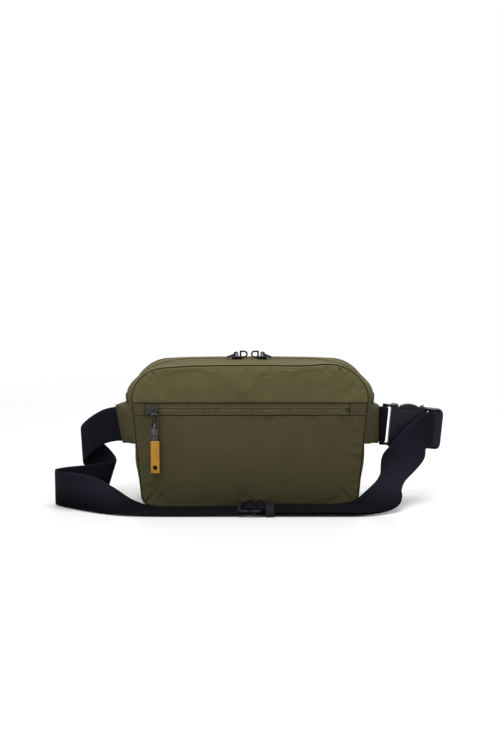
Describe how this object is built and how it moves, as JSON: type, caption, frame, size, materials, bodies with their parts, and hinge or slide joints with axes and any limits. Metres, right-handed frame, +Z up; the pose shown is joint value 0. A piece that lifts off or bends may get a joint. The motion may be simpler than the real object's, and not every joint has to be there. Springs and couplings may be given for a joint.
{
  "type": "waist pack",
  "caption": "Fabric waist pack with a zipped main compartment, a zipped front pocket, a webbing belt, a strap adjuster and a side-release buckle.",
  "frame": {"origin": "middle of the flat base, on the surface that the pack stands on", "axes": "+X to the right seen from the front, -Y out of the front panel, +Z up"},
  "size_m": [0.4178, 0.1115, 0.1633],
  "materials": {
    "olive_fabric": "matte twill",
    "olive_zip_tape": "woven tape",
    "olive_zip_coil": "satin nylon coil",
    "binding_tape": "woven tape",
    "lining_cloth": "plain weave",
    "foam": "closed-cell foam",
    "navy_webbing": "matte woven webbing",
    "black_plastic": "fine moulded texture",
    "gunmetal": "satin dark plating",
    "grey_cord": "braided",
    "mustard_leather": "smooth waxed"
  },
  "bodies": {
    "pack": {"front_upper_panel": "olive_fabric", "front_pocket_panel": "olive_fabric", "front_zip_end_left": "olive_fabric", "front_zip_end_right": "olive_fabric", "front_zip_tape_upper": "olive_zip_tape", "front_zip_tape_lower": "olive_zip_tape", "front_zip_chain": "olive_zip_coil", "front_zip_stop": "gunmetal", "front_pocket_lining": "lining_cloth", "lower_gusset": "olive_fabric", "top_gusset_front": "olive_fabric", "top_gusset_back": "olive_fabric", "top_zip_tape_front": "olive_zip_tape", "top_zip_tape_back": "olive_zip_tape", "top_zip_chain": "olive_zip_coil", "seam_binding_front": "binding_tape", "seam_binding_back": "binding_tape", "main_lining": "lining_cloth", "back_foam": "foam", "back_panel": "olive_fabric", "zip_end_tab_left": "olive_fabric", "zip_end_tab_right": "olive_fabric", "wing_left": "olive_fabric", "wing_right": "olive_fabric", "belt_left_run": "navy_webbing", "belt_adjuster_run": "navy_webbing", "belt_right_run": "navy_webbing", "belt_return_run": "navy_webbing", "belt_return_end": "navy_webbing", "buckle_bar_loop": "navy_webbing", "buckle_female": "black_plastic"},
    "front_slider": {"front_slider": "gunmetal"},
    "front_pull_wire": {"front_pull_loop": "gunmetal"},
    "front_pull_tab": {"pull_cord": "grey_cord", "leather_tab": "mustard_leather", "tab_eyelet": "gunmetal"},
    "top_slider_left": {"top_slider_left": "gunmetal"},
    "top_pull_left": {"top_pull_left": "gunmetal"},
    "top_slider_right": {"top_slider_right": "gunmetal"},
    "top_pull_right": {"top_pull_right": "gunmetal"},
    "buckle_male": {"buckle_male": "black_plastic", "belt_buckle_loop": "navy_webbing"},
    "latch_arm_upper": {"latch_arm_upper": "black_plastic"},
    "latch_arm_lower": {"latch_arm_lower": "black_plastic"},
    "tri_glide": {"tri_glide": "black_plastic"},
    "strap_keeper": {"strap_keeper": "black_plastic"}
  },
  "joints": [
    {"name": "front_zip_slide", "type": "slide", "parent": "pack", "child": "front_slider", "axis": [1, 0, 0], "range_m": [0, 0.194]},
    {"name": "front_pull_lift", "type": "hinge", "parent": "front_slider", "child": "front_pull_wire", "pos_m": [-0.1, -0.0386, 0.1012], "axis": [-1, 0, 0], "range_deg": [0, 120]},
    {"name": "front_tab_swing", "type": "hinge", "parent": "front_pull_wire", "child": "front_pull_tab", "pos_m": [-0.1, -0.0386, 0.0905], "axis": [0, 1, 0], "range_deg": [-60, 60]},
    {"name": "top_zip_slide_left", "type": "slide", "parent": "pack", "child": "top_slider_left", "axis": [-1, 0, 0], "range_m": [0, 0.065]},
    {"name": "top_pull_left_lift", "type": "hinge", "parent": "top_slider_left", "child": "top_pull_left", "pos_m": [-0.015, 0, 0.1596], "axis": [0, 1, 0], "range_deg": [0, 130]},
    {"name": "top_zip_slide_right", "type": "slide", "parent": "pack", "child": "top_slider_right", "axis": [1, 0, 0], "range_m": [0, 0.065]},
    {"name": "top_pull_right_lift", "type": "hinge", "parent": "top_slider_right", "child": "top_pull_right", "pos_m": [0.0135, 0, 0.1596], "axis": [0, -1, 0], "range_deg": [0, 130]},
    {"name": "buckle_release", "type": "slide", "parent": "pack", "child": "buckle_male", "axis": [0.9962, 0, -0.0872], "range_m": [0, 0.045], "deforming": ["latch_arm_upper", "latch_arm_lower", "belt_right_run", "belt_return_run"]},
    {"name": "latch_press_upper", "type": "hinge", "parent": "buckle_male", "child": "latch_arm_upper", "pos_m": [0.18771, 0.014, 0.08711], "axis": [0, -1, 0], "range_deg": [0, 12], "stiffness_Nm_per_rad": 0.5},
    {"name": "latch_press_lower", "type": "hinge", "parent": "buckle_male", "child": "latch_arm_lower", "pos_m": [0.18593, 0.014, 0.06669], "axis": [0, 1, 0], "range_deg": [0, 12], "stiffness_Nm_per_rad": 0.5},
    {"name": "adjuster_slide", "type": "slide", "parent": "pack", "child": "tri_glide", "axis": [-1, 0, 0], "range_m": [0, 0.03], "deforming": ["belt_adjuster_run", "belt_return_end"]},
    {"name": "keeper_slide", "type": "slide", "parent": "pack", "child": "strap_keeper", "axis": [1, 0, 0], "range_m": [0, 0.03]}
  ]
}
